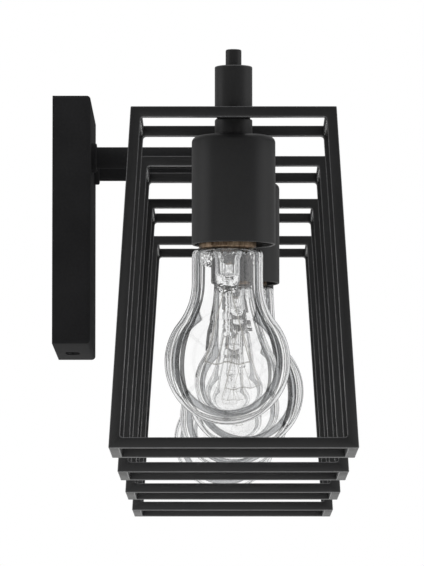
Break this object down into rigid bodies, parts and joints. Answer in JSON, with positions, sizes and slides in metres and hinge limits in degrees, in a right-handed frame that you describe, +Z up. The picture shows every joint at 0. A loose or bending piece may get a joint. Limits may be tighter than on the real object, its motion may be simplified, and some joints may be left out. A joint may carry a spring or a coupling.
{
  "type": "vanity light",
  "caption": "Black wall bar on a shallow rectangular canopy, with clear bulbs hanging cap up in open tapered cages of square rod.",
  "frame": {"origin": "centre of the two wall screws, in the plane of the wall", "axes": "+X along the wall and the main bar, -Y out from the wall into the room, +Z up; light 1 is at the -X end"},
  "size_m": [0.7336, 0.1538, 0.203],
  "materials": {
    "black_metal": "satin",
    "zinc_sheet": "satin",
    "green_screw": "gloss",
    "nut_plastic": "matte",
    "lead_insulation": "satin",
    "porcelain": "gloss",
    "copper_sheet": "satin",
    "cap_metal": "satin",
    "clear_glass": "gloss",
    "filament_wire": "satin"
  },
  "bodies": {
    "fixture": {"canopy": "black_metal", "crossbar": "zinc_sheet", "lock_screws": "black_metal", "ground_screw": "green_screw", "wire_nuts": "nut_plastic", "leads": "lead_insulation", "arm_left": "black_metal", "arm_right": "black_metal", "arm_collars": "black_metal", "arm_nuts": "zinc_sheet", "main_bar": "black_metal", "couplings": "black_metal", "finials": "black_metal"},
    "head_1": {"rails_1": "black_metal", "uprights_1": "black_metal", "corner_rods_1": "black_metal", "neck_1": "black_metal", "cup_1": "black_metal", "lampholder_1": "porcelain", "holder_contacts_1": "copper_sheet"},
    "head_2": {"rails_2": "black_metal", "uprights_2": "black_metal", "corner_rods_2": "black_metal", "neck_2": "black_metal", "cup_2": "black_metal", "lampholder_2": "porcelain", "holder_contacts_2": "copper_sheet"},
    "head_3": {"rails_3": "black_metal", "uprights_3": "black_metal", "corner_rods_3": "black_metal", "neck_3": "black_metal", "cup_3": "black_metal", "lampholder_3": "porcelain", "holder_contacts_3": "copper_sheet"},
    "head_4": {"rails_4": "black_metal", "uprights_4": "black_metal", "corner_rods_4": "black_metal", "neck_4": "black_metal", "cup_4": "black_metal", "lampholder_4": "porcelain", "holder_contacts_4": "copper_sheet"},
    "bulb_1": {"bulb_glass_1": "clear_glass", "bulb_cap_1": "cap_metal", "bulb_stem_1": "clear_glass", "bulb_filament_1": "filament_wire"},
    "bulb_2": {"bulb_glass_2": "clear_glass", "bulb_cap_2": "cap_metal", "bulb_stem_2": "clear_glass", "bulb_filament_2": "filament_wire"},
    "bulb_3": {"bulb_glass_3": "clear_glass", "bulb_cap_3": "cap_metal", "bulb_stem_3": "clear_glass", "bulb_filament_3": "filament_wire"},
    "bulb_4": {"bulb_glass_4": "clear_glass", "bulb_cap_4": "cap_metal", "bulb_stem_4": "clear_glass", "bulb_filament_4": "filament_wire"}
  },
  "joints": [
    {"name": "swivel_1", "type": "hinge", "parent": "fixture", "child": "head_1", "pos_m": [-0.324, -0.095, 0.0235], "axis": [0, 0, 1], "range_deg": [-90, 90]},
    {"name": "swivel_2", "type": "hinge", "parent": "fixture", "child": "head_2", "pos_m": [-0.108, -0.095, 0.0235], "axis": [0, 0, 1], "range_deg": [-90, 90]},
    {"name": "swivel_3", "type": "hinge", "parent": "fixture", "child": "head_3", "pos_m": [0.108, -0.095, 0.0235], "axis": [0, 0, 1], "range_deg": [-90, 90]},
    {"name": "swivel_4", "type": "hinge", "parent": "fixture", "child": "head_4", "pos_m": [0.324, -0.095, 0.0235], "axis": [0, 0, 1], "range_deg": [-90, 90]},
    {"name": "bulb_unscrew_1", "type": "slide", "parent": "head_1", "child": "bulb_1", "axis": [0, 0, -1], "range_m": [0, 0.027]},
    {"name": "bulb_unscrew_2", "type": "slide", "parent": "head_2", "child": "bulb_2", "axis": [0, -0.0471, -0.9989], "range_m": [0, 0.027]},
    {"name": "bulb_unscrew_3", "type": "slide", "parent": "head_3", "child": "bulb_3", "axis": [0, 0, -1], "range_m": [0, 0.027]},
    {"name": "bulb_unscrew_4", "type": "slide", "parent": "head_4", "child": "bulb_4", "axis": [0, 0, -1], "range_m": [0, 0.027]}
  ]
}
